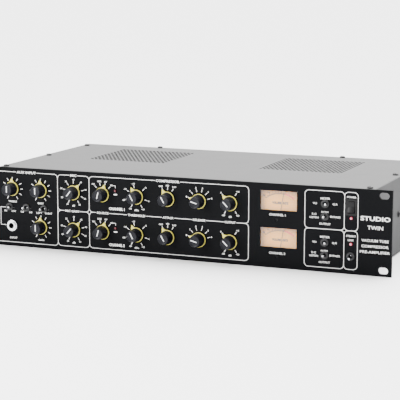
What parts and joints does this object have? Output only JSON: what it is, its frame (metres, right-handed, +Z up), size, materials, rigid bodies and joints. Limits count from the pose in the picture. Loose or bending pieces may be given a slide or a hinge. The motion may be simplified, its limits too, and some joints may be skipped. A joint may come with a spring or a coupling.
{
  "type": "rack compressor",
  "caption": "Two-unit rack-mounted stereo valve compressor with ringed pointer knobs, needle meters, toggle switches and a vented sheet-metal case.",
  "frame": {"origin": "centre of the rack-slot pattern on the rear face of the front panel", "axes": "+X right along the panel as seen from the front, +Y back into the case, +Z up"},
  "size_m": [0.4826, 0.2614, 0.0882],
  "materials": {
    "panel_black": "satin black anodised",
    "case_grey": "satin grey paint",
    "cover_grey": "satin light grey paint",
    "black_steel": "black oxide",
    "zinc_steel": "zinc plated",
    "component_metal": "plated",
    "component_black": "moulded black",
    "chrome_nut": "bright plated",
    "meter_glass": "clear acrylic",
    "meter_dial": "warm cream card face",
    "lamp_red": "red lens",
    "pin_brass": "plated",
    "board_green": "solder mask",
    "standoff_brass": "turned",
    "socket_ceramic": "ceramic",
    "valve_glass": "clear",
    "electrode_grey": "carbonised",
    "capacitor_sleeve": "shrink sleeve",
    "sink_aluminium": "mill finish",
    "winding_tape": "polyester tape",
    "pad_rubber": "neoprene",
    "ribbon_grey": "flat cable",
    "knob_black": "black cap, yellow pointer ring",
    "toggle_chrome": "bright plated",
    "rocker_black": "moulded",
    "needle_black": "matt black",
    "pointer_yellow": "moulded yellow",
    "print_white": "screen-printed ink",
    "print_dark": "screen-printed ink",
    "print_red": "screen-printed ink"
  },
  "bodies": {
    "chassis": {"front_panel": "panel_black", "chassis_tray": "case_grey", "rear_panel": "case_grey", "top_cover": "cover_grey", "case_screws": "black_steel", "panel_fixings": "zinc_steel", "potentiometers": "component_metal", "rotary_switches": "component_black", "dress_nuts": "chrome_nut", "toggle_switches": "component_black", "meter_housings": "component_black", "meter_windows": "meter_glass", "meter_dials": "meter_dial", "meter_movements": "component_metal", "lamps": "lamp_red", "front_jack": "component_black", "line_jacks": "component_black", "xlr_connectors": "component_black", "mains_inlet": "component_black", "connector_pins": "pin_brass", "connector_screws": "black_steel", "control_board": "board_green", "channel_boards": "board_green", "board_standoffs": "standoff_brass", "valve_sockets": "socket_ceramic", "valve_glasses": "valve_glass", "valve_electrodes": "electrode_grey", "smoothing_capacitors": "capacitor_sleeve", "heat_sinks": "sink_aluminium", "regulators": "component_black", "transformer": "winding_tape", "transformer_pads": "pad_rubber", "transformer_clamp": "zinc_steel", "ribbon_cables": "ribbon_grey"},
    "knob_aux_bass": {"knob_aux_bass": "knob_black"},
    "knob_aux_treble": {"knob_aux_treble": "knob_black"},
    "knob_aux_gain": {"knob_aux_gain": "knob_black"},
    "knob_gain_1": {"knob_gain_1": "knob_black"},
    "knob_source_1": {"knob_source_1": "knob_black"},
    "knob_threshold_1": {"knob_threshold_1": "knob_black"},
    "knob_attack_1": {"knob_attack_1": "knob_black"},
    "knob_release_1": {"knob_release_1": "knob_black"},
    "knob_output_1": {"knob_output_1": "knob_black"},
    "knob_gain_2": {"knob_gain_2": "knob_black"},
    "knob_source_2": {"knob_source_2": "knob_black"},
    "knob_threshold_2": {"knob_threshold_2": "knob_black"},
    "knob_attack_2": {"knob_attack_2": "knob_black"},
    "knob_release_2": {"knob_release_2": "knob_black"},
    "knob_output_2": {"knob_output_2": "knob_black"},
    "meter_toggle_1": {"meter_toggle_1": "toggle_chrome"},
    "output_toggle_1": {"output_toggle_1": "toggle_chrome"},
    "meter_toggle_2": {"meter_toggle_2": "toggle_chrome"},
    "output_toggle_2": {"output_toggle_2": "toggle_chrome"},
    "link_toggle": {"link_toggle": "toggle_chrome"},
    "aux_toggle_1": {"aux_toggle_1": "toggle_chrome"},
    "aux_toggle_2": {"aux_toggle_2": "toggle_chrome"},
    "aux_toggle_3": {"aux_toggle_3": "toggle_chrome"},
    "power_rocker": {"power_rocker": "rocker_black"},
    "meter_needle_1": {"meter_needle_1": "needle_black"},
    "meter_needle_2": {"meter_needle_2": "needle_black"}
  },
  "joints": [
    {"name": "turn_aux_bass", "type": "hinge", "parent": "chassis", "child": "knob_aux_bass", "pos_m": [-0.1902, -0.003, 0.0205], "axis": [0, 1, 0], "range_deg": [-150, 150]},
    {"name": "turn_aux_treble", "type": "hinge", "parent": "chassis", "child": "knob_aux_treble", "pos_m": [-0.1551, -0.003, 0.0205], "axis": [0, 1, 0], "range_deg": [-150, 150]},
    {"name": "turn_aux_gain", "type": "hinge", "parent": "chassis", "child": "knob_aux_gain", "pos_m": [-0.1551, -0.003, -0.0205], "axis": [0, 1, 0], "range_deg": [-150, 150]},
    {"name": "turn_gain_1", "type": "hinge", "parent": "chassis", "child": "knob_gain_1", "pos_m": [-0.1146, -0.003, 0.0205], "axis": [0, 1, 0], "range_deg": [-188, 112]},
    {"name": "turn_source_1", "type": "hinge", "parent": "chassis", "child": "knob_source_1", "pos_m": [-0.0795, -0.003, 0.0205], "axis": [0, 1, 0], "range_deg": [-60, 30]},
    {"name": "turn_threshold_1", "type": "hinge", "parent": "chassis", "child": "knob_threshold_1", "pos_m": [-0.0392, -0.003, 0.0205], "axis": [0, 1, 0], "range_deg": [-120, 180]},
    {"name": "turn_attack_1", "type": "hinge", "parent": "chassis", "child": "knob_attack_1", "pos_m": [-0.003, -0.003, 0.0205], "axis": [0, 1, 0], "range_deg": [0, 60]},
    {"name": "turn_release_1", "type": "hinge", "parent": "chassis", "child": "knob_release_1", "pos_m": [0.033, -0.003, 0.0205], "axis": [0, 1, 0], "range_deg": [0, 150]},
    {"name": "turn_output_1", "type": "hinge", "parent": "chassis", "child": "knob_output_1", "pos_m": [0.068, -0.003, 0.0205], "axis": [0, 1, 0], "range_deg": [-105, 195]},
    {"name": "turn_gain_2", "type": "hinge", "parent": "chassis", "child": "knob_gain_2", "pos_m": [-0.1146, -0.003, -0.0205], "axis": [0, 1, 0], "range_deg": [-190, 110]},
    {"name": "turn_source_2", "type": "hinge", "parent": "chassis", "child": "knob_source_2", "pos_m": [-0.0795, -0.003, -0.0205], "axis": [0, 1, 0], "range_deg": [-60, 30]},
    {"name": "turn_threshold_2", "type": "hinge", "parent": "chassis", "child": "knob_threshold_2", "pos_m": [-0.0392, -0.003, -0.0205], "axis": [0, 1, 0], "range_deg": [-122, 178]},
    {"name": "turn_attack_2", "type": "hinge", "parent": "chassis", "child": "knob_attack_2", "pos_m": [-0.003, -0.003, -0.0205], "axis": [0, 1, 0], "range_deg": [0, 60]},
    {"name": "turn_release_2", "type": "hinge", "parent": "chassis", "child": "knob_release_2", "pos_m": [0.033, -0.003, -0.0205], "axis": [0, 1, 0], "range_deg": [0, 150]},
    {"name": "turn_output_2", "type": "hinge", "parent": "chassis", "child": "knob_output_2", "pos_m": [0.068, -0.003, -0.0205], "axis": [0, 1, 0], "range_deg": [-105, 195]},
    {"name": "flip_meter_toggle_1", "type": "hinge", "parent": "chassis", "child": "meter_toggle_1", "pos_m": [0.171, -0.001, 0.0266], "axis": [0, 0, 1], "range_deg": [-26, 0]},
    {"name": "flip_output_toggle_1", "type": "hinge", "parent": "chassis", "child": "output_toggle_1", "pos_m": [0.171, -0.001, 0.0137], "axis": [0, 0, 1], "range_deg": [-13, 13]},
    {"name": "flip_meter_toggle_2", "type": "hinge", "parent": "chassis", "child": "meter_toggle_2", "pos_m": [0.171, -0.001, -0.0132], "axis": [0, 0, 1], "range_deg": [-26, 0]},
    {"name": "flip_output_toggle_2", "type": "hinge", "parent": "chassis", "child": "output_toggle_2", "pos_m": [0.171, -0.001, -0.0265], "axis": [0, 0, 1], "range_deg": [-13, 13]},
    {"name": "flip_link_toggle", "type": "hinge", "parent": "chassis", "child": "link_toggle", "pos_m": [0.1987, -0.001, -0.0255], "axis": [1, 0, 0], "range_deg": [-26, 0]},
    {"name": "flip_aux_toggle_1", "type": "hinge", "parent": "chassis", "child": "aux_toggle_1", "pos_m": [-0.194, -0.001, 0.0002], "axis": [0, 0, 1], "range_deg": [-26, 0]},
    {"name": "flip_aux_toggle_2", "type": "hinge", "parent": "chassis", "child": "aux_toggle_2", "pos_m": [-0.173, -0.001, 0.0002], "axis": [0, 0, 1], "range_deg": [0, 26]},
    {"name": "flip_aux_toggle_3", "type": "hinge", "parent": "chassis", "child": "aux_toggle_3", "pos_m": [-0.1513, -0.001, 0.0002], "axis": [0, 0, 1], "range_deg": [0, 26]},
    {"name": "tip_power_rocker", "type": "hinge", "parent": "chassis", "child": "power_rocker", "pos_m": [0.1988, -0.003, 0.0247], "axis": [1, 0, 0], "range_deg": [0, 16]},
    {"name": "swing_meter_needle_1", "type": "hinge", "parent": "chassis", "child": "meter_needle_1", "pos_m": [0.1211, 0.00055, 0.0086], "axis": [0, 1, 0], "range_deg": [-48, 28], "stiffness_Nm_per_rad": 0.0001},
    {"name": "swing_meter_needle_2", "type": "hinge", "parent": "chassis", "child": "meter_needle_2", "pos_m": [0.1211, 0.00055, -0.0301], "axis": [0, 1, 0], "range_deg": [-48, 28], "stiffness_Nm_per_rad": 0.0001}
  ]
}
